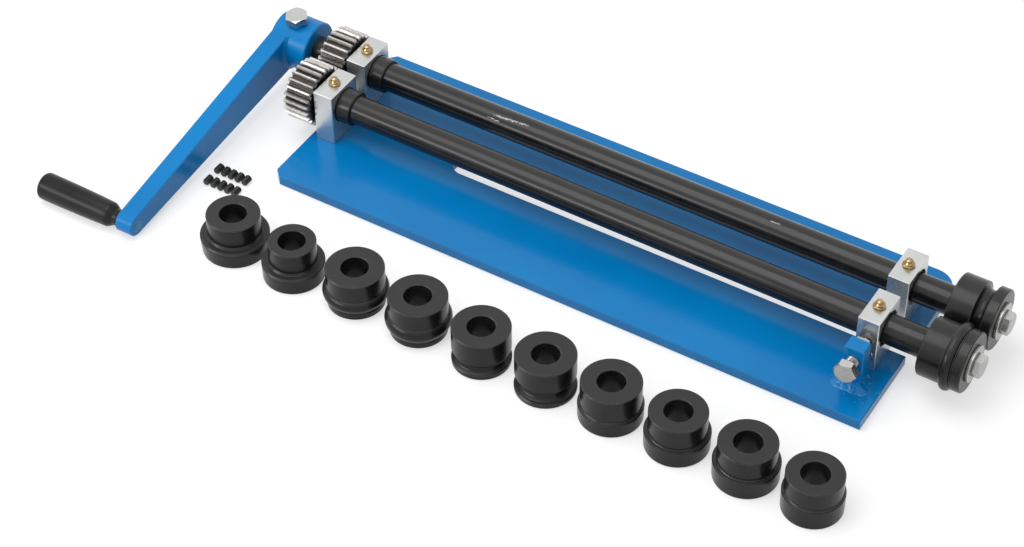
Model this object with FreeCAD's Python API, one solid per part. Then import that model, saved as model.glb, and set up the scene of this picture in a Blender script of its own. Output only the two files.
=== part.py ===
import FreeCAD
import Part
import math
import os

os.makedirs("parts", exist_ok=True)

# Driving dimensions, millimetres
# X runs along the shafts from the crank end to the die end, Y from front to back, Z up
# The origin is the bottom centre of the box around the whole set
# The positions below are taken from the base plate's middle, and save() moves them
# The front shaft's carriage is drawn parallel to the back shaft, then swung open at rest

PLATE_L = 532.0
PLATE_W = 178.0
PLATE_T = 10.0
PLATE_EDGE = 0.8
CORNER_CUT = 6.5
CORNER_BACK_R = 18.0

BLOCK_X = 18.0
BLOCK_Y = 36.0
BLOCK_H = 49.0
BLOCK_EDGE = 0.5
GEAR_BLOCK_IN = 15.0
DIE_BLOCK_IN = 23.0

SHAFT_R = 12.0
SEAT_R = 11.0
PIVOT_DISTANCE = 48.2
REST_OPENING = 3.1
BACK_AXIS_IN = 121.2
AXIS_UP = 30.5

BUSH_R = 15.0
BUSH_L = 14.0

THROAT = 454.4
SLOT_FRONT_IN = 78.7
SLOT_BACK_IN = 101.0

GEAR_MODULE = 2.0
GEAR_TEETH = 24
GEAR_PRESSURE = 20.0
GEAR_W = 24.0
GEAR_THIN = 0.15
GEAR_GAP = 2.0

KEY_W = 6.0
KEY_H = 6.0
KEY_L = 18.0
KEY_IN_SHAFT = 3.5

COLLAR_R = 14.5
COLLAR_L = 12.5

DIE_L = 36.0
DIE_OUT = 19.5
DRIVE_DIE_MORE = 1.5
BEAD_AT = 22.9
BEAD_HALF = 4.2
BEAD_RISE = 3.5
GROOVE_HALF = 4.6
GROOVE_DEPTH = 5.2
MALE_R = 23.8
MALE_RIM_R = 24.7
FEMALE_R = 24.9

WASHER_R = 15.0
WASHER_T = 2.5
M10_R = 5.0
M10_AF = 17.0
M10_HEAD = 6.4
M8_R = 4.0
M6_R = 3.0
END_BOLT_L = 30.0

CRANK_R = 232.0
CRANK_T = 16.0
CRANK_ROOT_H = 37.0
CRANK_TIP_R = 9.0
HUB_R = 22.5
HUB_L = 36.0
HUB_GAP = 15.0
STUB_OUT = 61.0
SET_BOLT_L = 16.0
GRIP_R = 11.5
GRIP_L = 78.0
GRIP_FLOOR = 0.4
GRIP_END_GAP = 0.8
PIN_R = 4.0

POST_X = 16.5
POST_Y = 13.0
POST_H = 39.0
POST_FRONT_IN = 29.0
POST_WELD = 8.0
POST_WELD_H = 6.5
PUSH_BOLT_UP = 26.5
PUSH_HEAD_IN = 13.5
LOCK_NUT_T = 5.0

LOOSE_DIE_R = 25.0
LOOSE_DIE_H = 35.5
LOOSE_FIRST_X = 17.4
LOOSE_PITCH = 57.5
LOOSE_FIRST_Y = -76.8
LOOSE_SKEW = -0.55
LOOSE_STRAY = ((0.4, 0.0), (0.6, -1.2), (1.9, 0.0), (3.0, -0.3), (4.5, -2.8),
               (3.6, -1.7), (2.2, -0.2), (1.5, 0.0), (1.8, 0.0), (-0.4, -1.4))

GRUB_L = 8.0
GRUB_PITCH = 6.9
GRUB_FIRST_X = -45.5
GRUB_FIRST_Y = -16.5
GRUB_ROW_GAP = 15.5
GRUB_ROW_SHIFT = 0.5

# Named clearances, radial
RUN = 0.05
FIT = 0.02
SLIDE = 0.30
TOUCH = 0.05

# Sizes that follow from the ones above
X_LEFT = -PLATE_L / 2
X_RIGHT = PLATE_L / 2
Y_FRONT = -PLATE_W / 2
Y_BACK = PLATE_W / 2
TOP = PLATE_T
AXIS_Z = TOP + AXIS_UP
BACK_Y = Y_FRONT + BACK_AXIS_IN
FRONT_Y = BACK_Y - PIVOT_DISTANCE
GEAR_BLOCK_X = X_LEFT + GEAR_BLOCK_IN
DIE_BLOCK_X = X_RIGHT - DIE_BLOCK_IN
DIE_X = X_RIGHT + DIE_OUT
SWING = -math.degrees(math.asin(REST_OPENING / (DIE_BLOCK_X - GEAR_BLOCK_X)))
SLOT_END_X = DIE_X + BEAD_AT - THROAT
SLOT_FRONT = Y_FRONT + SLOT_FRONT_IN
SLOT_BACK = Y_FRONT + SLOT_BACK_IN
GEAR_RIGHT = GEAR_BLOCK_X - BLOCK_X / 2 - GEAR_GAP
GEAR_LEFT = GEAR_RIGHT - GEAR_W
HUB_RIGHT = GEAR_LEFT - HUB_GAP
HUB_LEFT = HUB_RIGHT - HUB_L
ARM_RIGHT = HUB_LEFT + CRANK_T
STUB_X = X_LEFT - STUB_OUT
GRIP_NEAR = HUB_LEFT - GRIP_END_GAP
DROOP = math.degrees(math.asin((AXIS_Z - GRIP_R - GRIP_FLOOR) / CRANK_R))
POST_FRONT = Y_FRONT + POST_FRONT_IN
POST_BACK = POST_FRONT + POST_Y
PUSH_Z = TOP + PUSH_BOLT_UP
FRONT_BLOCK_FACE = FRONT_Y - REST_OPENING - BLOCK_Y / 2
SCREW_REACH = 12.0
SCREW_OFF = 12.0
SLIDE_OFF = 8.0
SLIDE_OPEN = 4.5
SLIDE_CLOSE = 2.5
SET_LEFT = GRIP_NEAR - GRIP_L
SET_RIGHT = DIE_X + DIE_L + WASHER_T + M10_HEAD
SET_FRONT = BACK_Y - CRANK_R * math.cos(math.radians(DROOP)) - GRIP_R
ORIGIN_X = (SET_LEFT + SET_RIGHT) / 2
ORIGIN_Y = (SET_FRONT + Y_BACK) / 2

X_DIR = FreeCAD.Vector(1, 0, 0)
Y_DIR = FreeCAD.Vector(0, 1, 0)
Z_DIR = FreeCAD.Vector(0, 0, 1)


def vec(x, y, z):
    return FreeCAD.Vector(x, y, z)


def save(name, shape):
    shape = shape.copy()
    shape.translate(vec(-ORIGIN_X, -ORIGIN_Y, 0))
    shape.exportStep("parts/" + name + ".step")


def save_swung(name, shape):
    """Save a piece of the moving carriage, swung open about its pivot."""
    shape = shape.copy()
    shape.rotate(vec(GEAR_BLOCK_X, FRONT_Y, 0), Z_DIR, SWING)
    save(name, shape)


def box(x0, x1, y0, y1, z0, z1):
    return Part.makeBox(x1 - x0, y1 - y0, z1 - z0, vec(x0, y0, z0))


def rod_x(r, x0, x1, y, z):
    return Part.makeCylinder(r, x1 - x0, vec(x0, y, z), X_DIR)


def rod_y(r, y0, y1, x, z):
    return Part.makeCylinder(r, y1 - y0, vec(x, y0, z), Y_DIR)


def rod_z(r, z0, z1, x, y):
    return Part.makeCylinder(r, z1 - z0, vec(x, y, z0), Z_DIR)


def face_of(points):
    return Part.Face(Part.makePolygon(points + [points[0]]))


def turned(outline):
    """Revolve an outline about Z. A point is (radius, height), or a pair of
    such points for an arc: the arc's middle, then its end."""
    edges = []
    start = None
    first = None
    for item in outline:
        if start is None:
            start = vec(item[0], 0, item[1])
            first = start
            continue
        if isinstance(item[0], tuple):
            mid = vec(item[0][0], 0, item[0][1])
            end = vec(item[1][0], 0, item[1][1])
            edges.append(Part.Arc(start, mid, end).toShape())
        else:
            end = vec(item[0], 0, item[1])
            edges.append(Part.makeLine(start, end))
        start = end
    edges.append(Part.makeLine(start, first))
    return Part.Face(Part.Wire(edges)).revolve(vec(0, 0, 0), Z_DIR, 360)


def along_x(shape, x, y, z):
    """Lay a shape built up Z along +X with its foot at x, y, z."""
    shape = shape.copy()
    shape.rotate(vec(0, 0, 0), Y_DIR, 90)
    shape.translate(vec(x, y, z))
    return shape


def along_y(shape, x, y, z):
    """Lay a shape built up Z along +Y with its foot at x, y, z."""
    shape = shape.copy()
    shape.rotate(vec(0, 0, 0), X_DIR, -90)
    shape.translate(vec(x, y, z))
    return shape


def hexagon(across_flats, height):
    r = across_flats / math.sqrt(3)
    points = []
    for i in range(6):
        a = math.radians(60 * i)
        points.append(vec(r * math.cos(a), r * math.sin(a), 0))
    return face_of(points).extrude(vec(0, 0, height))


def hex_head(across_flats, height):
    """Hex head from Z 0 up, its top corners cut by a cone."""
    r = across_flats / math.sqrt(3)
    flat = across_flats / 2 * 0.95
    drop = (r - flat) * math.tan(math.radians(30))
    cone = turned([(0, 0), (r, 0), (r, height - drop), (flat, height), (0, height)])
    return hexagon(across_flats, height).common(cone)


def hex_bolt(r, across_flats, head, length):
    """Bolt standing on its tip at Z 0, with its head on top."""
    tip = 1.0
    shank = turned([(0, 0), (r - tip, 0), (r, tip), (r, length), (0, length)])
    cap = hex_head(across_flats, head)
    cap.translate(vec(0, 0, length))
    return shank.fuse(cap).removeSplitter()


def straight_edges(shape, test):
    return [e for e in shape.Edges if test(e)]


# Base plate

def plate_outline():
    """Plate outline with the throat slot open at the die end."""
    mid = (SLOT_FRONT + SLOT_BACK) / 2
    half = (SLOT_BACK - SLOT_FRONT) / 2
    r = CORNER_BACK_R
    s = r * (1 - math.sqrt(0.5))
    a = [vec(X_LEFT, Y_FRONT + CORNER_CUT, 0), vec(X_LEFT + CORNER_CUT, Y_FRONT, 0)]
    a += [vec(X_RIGHT, Y_FRONT, 0), vec(X_RIGHT, SLOT_FRONT, 0)]
    a += [vec(SLOT_END_X + half, SLOT_FRONT, 0)]
    slot_end = [vec(SLOT_END_X, mid, 0), vec(SLOT_END_X + half, SLOT_BACK, 0)]
    b = [vec(SLOT_END_X + half, SLOT_BACK, 0), vec(X_RIGHT, SLOT_BACK, 0)]
    b += [vec(X_RIGHT, Y_BACK - r, 0)]
    corner = [vec(X_RIGHT - s, Y_BACK - s, 0), vec(X_RIGHT - r, Y_BACK, 0)]
    c = [vec(X_RIGHT - r, Y_BACK, 0), vec(X_LEFT + CORNER_CUT, Y_BACK, 0)]
    c += [vec(X_LEFT, Y_BACK - CORNER_CUT, 0), a[0]]
    edges = [Part.makeLine(a[i], a[i + 1]) for i in range(len(a) - 1)]
    edges.append(Part.Arc(a[-1], slot_end[0], slot_end[1]).toShape())
    edges += [Part.makeLine(b[i], b[i + 1]) for i in range(len(b) - 1)]
    edges.append(Part.Arc(b[-1], corner[0], corner[1]).toShape())
    edges += [Part.makeLine(c[i], c[i + 1]) for i in range(len(c) - 1)]
    return Part.Wire(edges)


def screw_spots():
    """Centres of the countersunk screws under the two fixed blocks."""
    spots = []
    for x in (GEAR_BLOCK_X, DIE_BLOCK_X):
        for side in (-1, 1):
            spots.append((x, BACK_Y + side * SCREW_OFF))
    return spots


def csk_outline(gap):
    """Countersunk M8 screw outline, head down, from the plate's underside."""
    r = M8_R + gap
    head = 2 * M8_R + gap
    depth = head - r
    end = TOP + SCREW_REACH + gap
    return [(0, 0), (head, 0), (r, depth), (r, end), (0, end)]


def low_screw_outline(r, gap, reach):
    """Low-head screw outline, head down, set 1 mm up in the plate."""
    head_r = r + 2.5 + gap
    head_top = 1.0 + 4.5
    end = TOP + reach + gap
    return [(0, 1.0 - gap), (head_r, 1.0 - gap), (head_r, head_top), (r + gap, head_top),
            (r + gap, end), (0, end)]


def base_plate():
    plate = Part.Face(plate_outline()).extrude(vec(0, 0, PLATE_T))
    rim = [e for e in plate.Edges if abs(e.BoundBox.ZMax - e.BoundBox.ZMin) < 1e-6]
    plate = plate.makeChamfer(PLATE_EDGE, rim)
    for x, y in screw_spots():
        cut = turned(csk_outline(RUN))
        cut.translate(vec(x, y, 0))
        plate = plate.cut(cut)
    pivot = rod_z(M10_R + RUN, -1, TOP + 1, GEAR_BLOCK_X, FRONT_Y)
    pivot_head = rod_z(M10_R + 3.0, -1, 5.5, GEAR_BLOCK_X, FRONT_Y)
    slide = slide_slot(M8_R + SLIDE, -1, TOP + 1)
    slide_head = slide_slot(M8_R + 2.5 + SLIDE, -1, 5.5)
    return plate.cut(pivot).cut(pivot_head).cut(slide).cut(slide_head)


def slide_slot(r, z0, z1):
    """Slot along Y that lets the moving block's screw travel."""
    rest = FRONT_Y - REST_OPENING - SLIDE_OFF
    y0 = rest - SLIDE_OPEN
    y1 = rest + SLIDE_CLOSE
    body = box(DIE_BLOCK_X - r, DIE_BLOCK_X + r, y0, y1, z0, z1)
    ends = [rod_z(r, z0, z1, DIE_BLOCK_X, y) for y in (y0, y1)]
    return body.fuse(ends).removeSplitter()


def block_screws():
    shapes = []
    for x, y in screw_spots():
        screw = turned(csk_outline(0))
        socket = hexagon(5.0, 3.0)
        screw = screw.cut(socket)
        screw.translate(vec(x, y, 0))
        shapes.append(screw)
    return Part.makeCompound(shapes)


def low_screw(r, x, y, reach):
    screw = turned(low_screw_outline(r, 0, reach))
    socket = hexagon(r, 2.2)
    socket.translate(vec(0, 0, 0.9))
    screw = screw.cut(socket)
    screw.translate(vec(x, y, 0))
    return screw


# Bearing blocks

def block(x, y, holes):
    body = box(x - BLOCK_X / 2, x + BLOCK_X / 2, y - BLOCK_Y / 2, y + BLOCK_Y / 2, TOP, TOP + BLOCK_H)
    edges = straight_edges(body, lambda e: e.BoundBox.ZMax > TOP + 1)
    body = body.makeChamfer(BLOCK_EDGE, edges)
    body = body.cut(rod_x(BUSH_R, x - BLOCK_X, x + BLOCK_X, y, AXIS_Z))
    body = body.cut(rod_z(M8_R + FIT, TOP + BLOCK_H - 4.5, TOP + BLOCK_H + 1, x, y))
    for r, hole_y, reach in holes:
        body = body.cut(rod_z(r, TOP - 1, TOP + reach, x, hole_y))
    return body


def bush(x, y):
    x0 = x - BUSH_L / 2
    x1 = x + BUSH_L / 2
    ring = rod_x(BUSH_R - FIT, x0, x1, y, AXIS_Z)
    ring = ring.cut(rod_x(SHAFT_R + RUN, x0 - 1, x1 + 1, y, AXIS_Z))
    return ring


def nipple(x, y):
    """Grease nipple: thread, hex, cone and ball head."""
    z = TOP + BLOCK_H
    thread = rod_z(M8_R, z - 3.2, z + 0.1, x, y)
    base = hex_head(9.0, 2.2)
    base.translate(vec(x, y, z + TOUCH))
    stem = turned([(0, 2.0), (3.4, 2.0), (2.2, 3.7), (2.2, 4.1), ((2.9, 5.0), (2.1, 6.1)),
                   (1.1, 6.5), (0, 6.5)])
    stem.translate(vec(x, y, z + TOUCH))
    return thread.fuse([base, stem]).removeSplitter()


# Shafts, gears, keys and collars

def involute(base_r, r):
    """Polar angle of an involute at radius r."""
    t = math.sqrt(max((r / base_r) ** 2 - 1, 0))
    return t - math.atan(t)


def tooth_flank(base_r, tip_r, half):
    """Flank points from the base circle to the tip, half being the polar
    half-angle of the tooth at the base circle."""
    steps = 5
    points = []
    for i in range(steps + 1):
        r = base_r + (tip_r - base_r) * i / steps
        points.append((r, half - involute(base_r, r)))
    return points


def gear_outline(turn):
    """Closed involute gear outline in the XY plane."""
    pitch_r = GEAR_MODULE * GEAR_TEETH / 2
    tip_r = pitch_r + GEAR_MODULE
    root_r = pitch_r - 1.25 * GEAR_MODULE
    base_r = pitch_r * math.cos(math.radians(GEAR_PRESSURE))
    thick = math.pi * GEAR_MODULE / 2 - GEAR_THIN
    half = thick / 2 / pitch_r + involute(base_r, pitch_r)
    step = 2 * math.pi / GEAR_TEETH
    edges = []

    def at(r, a):
        return vec(r * math.cos(a), r * math.sin(a), 0)

    for k in range(GEAR_TEETH):
        mid = turn + k * step
        flank = tooth_flank(base_r, tip_r, half)
        up = [at(r, mid - a) for r, a in flank]
        down = [at(r, mid + a) for r, a in reversed(flank)]
        foot = at(root_r, mid - half)
        foot_end = at(root_r, mid + half)
        next_foot = at(root_r, mid + step - half)
        rise = Part.BSplineCurve()
        rise.interpolate(up)
        fall = Part.BSplineCurve()
        fall.interpolate(down)
        edges.append(Part.makeLine(foot, up[0]))
        edges.append(rise.toShape())
        edges.append(Part.Arc(up[-1], at(tip_r, mid), down[0]).toShape())
        edges.append(fall.toShape())
        edges.append(Part.makeLine(down[-1], foot_end))
        edges.append(Part.Arc(foot_end, at(root_r, mid + step / 2), next_foot).toShape())
    return Part.Wire(edges)


def gear(y, turn):
    """Involute spur gear between GEAR_LEFT and GEAR_RIGHT, tips chamfered."""
    tip_r = GEAR_MODULE * (GEAR_TEETH / 2 + 1)
    edge = 1.0
    body = Part.Face(gear_outline(turn)).extrude(vec(0, 0, GEAR_W))
    trim = turned([(0, 0), (tip_r - edge, 0), (tip_r + 0.1, edge + 0.1),
                   (tip_r + 0.1, GEAR_W - edge - 0.1), (tip_r - edge, GEAR_W), (0, GEAR_W)])
    body = body.common(trim)
    body = body.cut(Part.makeCylinder(SEAT_R + FIT, GEAR_W + 2, vec(0, 0, -1)))
    body = along_x(body, GEAR_LEFT, y, AXIS_Z)
    top = AXIS_Z + SEAT_R - KEY_IN_SHAFT + KEY_H + 0.2
    way = box(GEAR_LEFT - 1, GEAR_RIGHT + 1, y - KEY_W / 2 - FIT, y + KEY_W / 2 + FIT, AXIS_Z, top)
    return body.cut(way)


def key_box(y, gap):
    x0 = GEAR_LEFT + (GEAR_W - KEY_L) / 2
    z0 = AXIS_Z + SEAT_R - KEY_IN_SHAFT
    return box(x0 - gap, x0 + KEY_L + gap, y - KEY_W / 2 - gap, y + KEY_W / 2 + gap, z0 - gap, z0 + KEY_H)


def shaft(y, left, tip, seat):
    """Shaft with a gear seat on the left and a die seat on the right."""
    shoulder = GEAR_RIGHT + 1.0
    right = DIE_X + DIE_L - 1.0
    body = along_x(turned([(0, 0), (SEAT_R - tip, 0), (SEAT_R, tip), (SEAT_R, shoulder - left),
                           (SHAFT_R, shoulder - left), (SHAFT_R, seat - left),
                           (SEAT_R, seat - left), (SEAT_R, right - left - 1.0),
                           (SEAT_R - 1.0, right - left), (0, right - left)]), left, y, AXIS_Z)
    body = body.cut(rod_x(M10_R + FIT, right - END_BOLT_L, right + 1, y, AXIS_Z))
    return body.cut(key_box(y, FIT))


def collar(y):
    x0 = GEAR_BLOCK_X + BLOCK_X / 2 + SLIDE
    profile = turned([(SHAFT_R + FIT, 0), (COLLAR_R - 0.6, 0), (COLLAR_R, 0.6),
                      (COLLAR_R, COLLAR_L - 0.8), (COLLAR_R - 0.8, COLLAR_L), (SHAFT_R + FIT, COLLAR_L)])
    return along_x(profile, x0, y, AXIS_Z)


# Dies on the shafts, with their washers and bolts

def male_die():
    r = MALE_R
    rim = MALE_RIM_R
    lo = BEAD_AT - BEAD_HALF
    hi = BEAD_AT + BEAD_HALF
    edge = 0.8
    return turned([(SEAT_R + FIT, 0), (r - edge, 0), (r, edge), (r, lo),
                   ((r + BEAD_RISE, BEAD_AT), (r, hi)), (r, hi + 0.6), (rim, hi + 1.5), (rim, DIE_L - edge),
                   (rim - edge, DIE_L), (SEAT_R + FIT, DIE_L)])


def female_die():
    """Grooved die, its foot DRIVE_DIE_MORE below Z 0 so that the two right faces line up."""
    r = FEMALE_R
    foot = -DRIVE_DIE_MORE
    lo = BEAD_AT - GROOVE_HALF
    hi = BEAD_AT + GROOVE_HALF
    edge = 0.8
    return turned([(SEAT_R + FIT, foot), (r - edge, foot), (r, foot + edge), (r, lo - 0.4), (r - 0.4, lo),
                   (r - 1.0, lo), ((r - GROOVE_DEPTH, BEAD_AT), (r - 1.0, hi)), (r - 0.4, hi), (r, hi + 0.4),
                   (r, DIE_L - edge), (r - edge, DIE_L), (SEAT_R + FIT, DIE_L)])


def washer():
    hole = M10_R + 0.25
    edge = 0.3
    return turned([(hole, 0), (WASHER_R - edge, 0), (WASHER_R, edge), (WASHER_R, WASHER_T - edge),
                   (WASHER_R - edge, WASHER_T), (hole, WASHER_T)])


def end_bolt(y):
    length = END_BOLT_L - 2
    bolt = hex_bolt(M10_R, M10_AF, M10_HEAD, length)
    bolt.rotate(vec(0, 0, 0), Z_DIR, 30)
    return along_x(bolt, DIE_X + DIE_L + WASHER_T - length, y, AXIS_Z)


# Crank

def droop(shape):
    """Turn a crank piece about the drive shaft until the grip nears the bench."""
    shape = shape.copy()
    shape.rotate(vec(0, BACK_Y, AXIS_Z), X_DIR, DROOP)
    return shape


def crank_arm():
    y = BACK_Y
    z = AXIS_Z
    hub = rod_x(HUB_R, HUB_LEFT, HUB_RIGHT, y, z)
    hub_edges = [e for e in hub.Edges if e.BoundBox.XMax - e.BoundBox.XMin < 1e-6]
    hub = hub.makeChamfer(1.0, hub_edges)
    root = CRANK_ROOT_H / 2
    end = y - CRANK_R
    tip = CRANK_TIP_R
    bar = face_of([vec(HUB_LEFT, y, z - root), vec(HUB_LEFT, y, z + root), vec(HUB_LEFT, end, z + tip),
                   vec(HUB_LEFT, end, z - tip)]).extrude(vec(CRANK_T, 0, 0))
    eye = rod_x(tip, HUB_LEFT, ARM_RIGHT, end, z)
    arm = bar.fuse(eye).removeSplitter()
    long_edges = straight_edges(arm, lambda e: e.BoundBox.XMax - e.BoundBox.XMin < 1e-6)
    arm = arm.makeChamfer(0.8, long_edges)
    bead = along_x(turned([(0, 0), (HUB_R + 2.5, 0), (HUB_R, 2.5), (0, 2.5)]), ARM_RIGHT - 0.01, y, z)
    reach = box(ARM_RIGHT - 1, ARM_RIGHT + 3, y - HUB_R - 3, y, z - root, z + root)
    arm = arm.fuse([hub, bead.common(reach)]).removeSplitter()
    arm = arm.cut(rod_x(SEAT_R + RUN, HUB_LEFT - 1, HUB_RIGHT + 1, y, z))
    arm = arm.cut(rod_z(M10_R + FIT, z, z + HUB_R + 1, (HUB_LEFT + HUB_RIGHT) / 2, y))
    arm = arm.cut(rod_x(PIN_R + FIT, HUB_LEFT - 1, ARM_RIGHT + 1, end, z))
    return droop(arm)


def set_bolt():
    x = (HUB_LEFT + HUB_RIGHT) / 2
    foot = AXIS_Z + SEAT_R - 1.2
    bolt = hex_bolt(M10_R, M10_AF, M10_HEAD, SET_BOLT_L)
    bolt.translate(vec(x, BACK_Y, foot + TOUCH))
    return droop(bolt)


def set_flat():
    """Flat on the shaft's stub under the set bolt."""
    x = (HUB_LEFT + HUB_RIGHT) / 2
    flat = box(STUB_X - 1, x + 8, BACK_Y - 20, BACK_Y + 20, AXIS_Z + SEAT_R - 1.2, AXIS_Z + SEAT_R + 5)
    return droop(flat)


def grip_pin():
    end = BACK_Y - CRANK_R
    head = PIN_R + 1.0
    length = CRANK_T + GRIP_END_GAP + GRIP_L - 6.0
    pin = turned([(0, 0), (PIN_R - 0.5, 0), (PIN_R, 0.5), (PIN_R, length), (head, length + TOUCH),
                  (head - 1.2, length + 1.2), (0, length + 1.4)])
    return droop(along_x(pin, ARM_RIGHT - length, end, AXIS_Z))


def grip():
    """Turning handle, its mouth towards the arm and its outer end closed."""
    end = BACK_Y - CRANK_R
    far = GRIP_L
    bore = PIN_R + RUN
    depth = GRIP_L - 5.5
    outline = [(bore, 0), (6.6, 0), (7.0, 0.4), (7.0, 4.5), (8.2, 6.0), (10.0, 9.0), (10.4, 11.0),
               ((11.2, 40.0), (GRIP_R, far - 10.0)), (GRIP_R, far - 3.5),
               ((GRIP_R - 1.0, far - 1.0), (GRIP_R - 3.5, far)), (0, far), (0, depth), (bore, depth)]
    body = turned(outline)
    body.rotate(vec(0, 0, 0), Y_DIR, -90)
    body.translate(vec(GRIP_NEAR, end, AXIS_Z))
    return droop(body)


# Pressure post, its weld, push bolt and lock nut

def pressure_post():
    x0 = DIE_BLOCK_X - POST_X / 2
    x1 = DIE_BLOCK_X + POST_X / 2
    body = box(x0, x1, POST_FRONT, POST_BACK, TOP, TOP + POST_H)
    edges = straight_edges(body, lambda e: e.BoundBox.ZMax > TOP + 1)
    body = body.makeChamfer(0.8, edges)
    return body.cut(rod_y(M10_R + RUN, POST_FRONT - 1, POST_BACK + 1, DIE_BLOCK_X, PUSH_Z))


def post_weld():
    """Fillet weld round the post's foot, kept clear of the moving block."""
    x0 = DIE_BLOCK_X - POST_X / 2
    x1 = DIE_BLOCK_X + POST_X / 2
    back = min(POST_WELD, FRONT_BLOCK_FACE - POST_BACK - 6.5)
    low = [vec(x0 - POST_WELD, POST_FRONT - POST_WELD, TOP), vec(x1 + POST_WELD, POST_FRONT - POST_WELD, TOP),
           vec(x1 + POST_WELD, POST_BACK + back, TOP), vec(x0 - POST_WELD, POST_BACK + back, TOP)]
    z = TOP + POST_WELD_H
    high =[vec(x0, POST_FRONT, z), vec(x1, POST_FRONT, z), vec(x1, POST_BACK, z), vec(x0, POST_BACK, z)]
    skin = Part.makeLoft([Part.makePolygon(low + [low[0]]), Part.makePolygon(high + [high[0]])], True)
    return skin.cut(box(x0, x1, POST_FRONT, POST_BACK, TOP - 1, z + 1))


def push_bolt():
    head_y = Y_FRONT + PUSH_HEAD_IN
    length = FRONT_BLOCK_FACE - 0.2 - head_y - M10_HEAD
    bolt = hex_bolt(M10_R, M10_AF, M10_HEAD, length)
    bolt.rotate(vec(0, 0, 0), X_DIR, 90)
    bolt.translate(vec(DIE_BLOCK_X, FRONT_BLOCK_FACE - 0.2, PUSH_Z))
    return bolt


def lock_nut():
    r = M10_AF / math.sqrt(3)
    edge = 0.5
    nut = hexagon(M10_AF, LOCK_NUT_T)
    nut = nut.common(turned([(0, 0), (r - 1.0, 0), (r, edge), (r, LOCK_NUT_T - edge),
                             (r - 1.0, LOCK_NUT_T), (0, LOCK_NUT_T)]))
    nut = nut.cut(Part.makeCylinder(M10_R + RUN, LOCK_NUT_T + 2, vec(0, 0, -1)))
    return along_y(nut, DIE_BLOCK_X, POST_BACK + TOUCH, PUSH_Z)


# Loose dies and spare grub screws on the bench

def sized(outline):
    """Bring an outline drawn for a die 25 mm in radius and 35 mm high to the named size."""
    across = LOOSE_DIE_R / 25.0
    up = LOOSE_DIE_H / 35.0
    points = []
    for item in outline:
        if isinstance(item[0], tuple):
            points.append(tuple((r * across, z * up) for r, z in item))
        else:
            points.append((item[0] * across, item[1] * up))
    return points


def loose_profiles():
    """Outer outlines of the ten loose dies, crank end first, as (radius, height)."""
    h = 35.0
    e = 0.7
    flat = [
        (21.8, 27.9, 27.0, 15.5),
        (19.4, 25.3, 24.9, 15.0),
    ]
    outlines = []
    for top_r, flange_r, foot_r, flange_h in flat:
        outlines.append([(foot_r - e, 0), (foot_r, e), (flange_r, flange_h - 3.0), (flange_r, flange_h - 1.0),
                         (flange_r - 1.0, flange_h), (top_r + 0.8, flange_h), (top_r - 0.6, flange_h + 1.4),
                         (top_r, flange_h + 2.6), (top_r, h - e), (top_r - e, h)])
    outlines.append([(23.2 - e, 0), (23.2, e), (23.4, 5.0), (22.6, 7.0),
                     ((26.4, 12.5), (23.5, 18.0)), (23.5, h - e), (23.5 - e, h)])
    outlines.append([(23.0 - e, 0), (23.0, e), (23.2, 4.5), (22.4, 6.0),
                     ((26.5, 12.5), (23.6, 19.0)), (23.6, h - e), (23.6 - e, h)])
    outlines.append([(23.3 - e, 0), (23.3, e), (23.4, 4.0), (22.4, 5.0),
                     ((19.4, 9.5), (22.4, 14.0)), (23.3, 15.0), (23.3, h - e), (23.3 - e, h)])
    outlines.append([(24.2 - e, 0), (24.2, e), (24.3, 3.0), (23.2, 4.2),
                     ((18.0, 10.2), (22.8, 16.2)), (23.9, 17.0), (23.9, h - e), (23.9 - e, h)])
    stepped = [
        (23.6, 25.3, 25.1, 13.5),
        (22.5, 25.4, 25.1, 15.5),
        (22.6, 25.6, 25.2, 16.5),
        (22.0, 23.6, 23.5, 18.0),
    ]
    for top_r, flange_r, foot_r, flange_h in stepped:
        outlines.append([(foot_r - e, 0), (foot_r, e), (flange_r, flange_h - 1.2), (flange_r - 0.8, flange_h),
                         (top_r + 0.3, flange_h), (top_r - 0.4, flange_h + 0.8), (top_r, flange_h + 1.8),
                         (top_r, h - e), (top_r - e, h)])
    return [sized(outline) for outline in outlines]


def loose_die(k, outline):
    bore = SEAT_R + RUN
    edge = 0.6
    outer = [(bore + edge, 0)] + outline + [(bore + edge, LOOSE_DIE_H), (bore, LOOSE_DIE_H - edge), (bore, edge)]
    body = turned(outer)
    x = X_LEFT + LOOSE_FIRST_X + k * LOOSE_PITCH + LOOSE_STRAY[k][0]
    y = Y_FRONT + LOOSE_FIRST_Y + k * LOOSE_SKEW + LOOSE_STRAY[k][1]
    body.translate(vec(x, y, 0))
    return body


def grub_screws():
    """Two rows of socket grub screws lying on the bench."""
    shapes = []
    for row in range(2):
        x0 = GRUB_FIRST_X + row * GRUB_ROW_SHIFT
        y0 = GRUB_FIRST_Y - row * GRUB_ROW_GAP
        for k in range(5):
            screw = turned([(0, 1.0), (1.4, 0.0), (M6_R - 0.7, 0), (M6_R, 0.7), (M6_R, GRUB_L - 0.6),
                            (M6_R - 0.6, GRUB_L), (0, GRUB_L)])
            socket = hexagon(3.0, 3.0)
            socket.translate(vec(0, 0, GRUB_L - 2.8))
            screw = screw.cut(socket)
            x = X_LEFT + x0 + k * GRUB_PITCH
            shapes.append(along_y(screw, x, Y_FRONT + y0, M6_R + 0.02))
    return Part.makeCompound(shapes)


# Write every node

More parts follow.
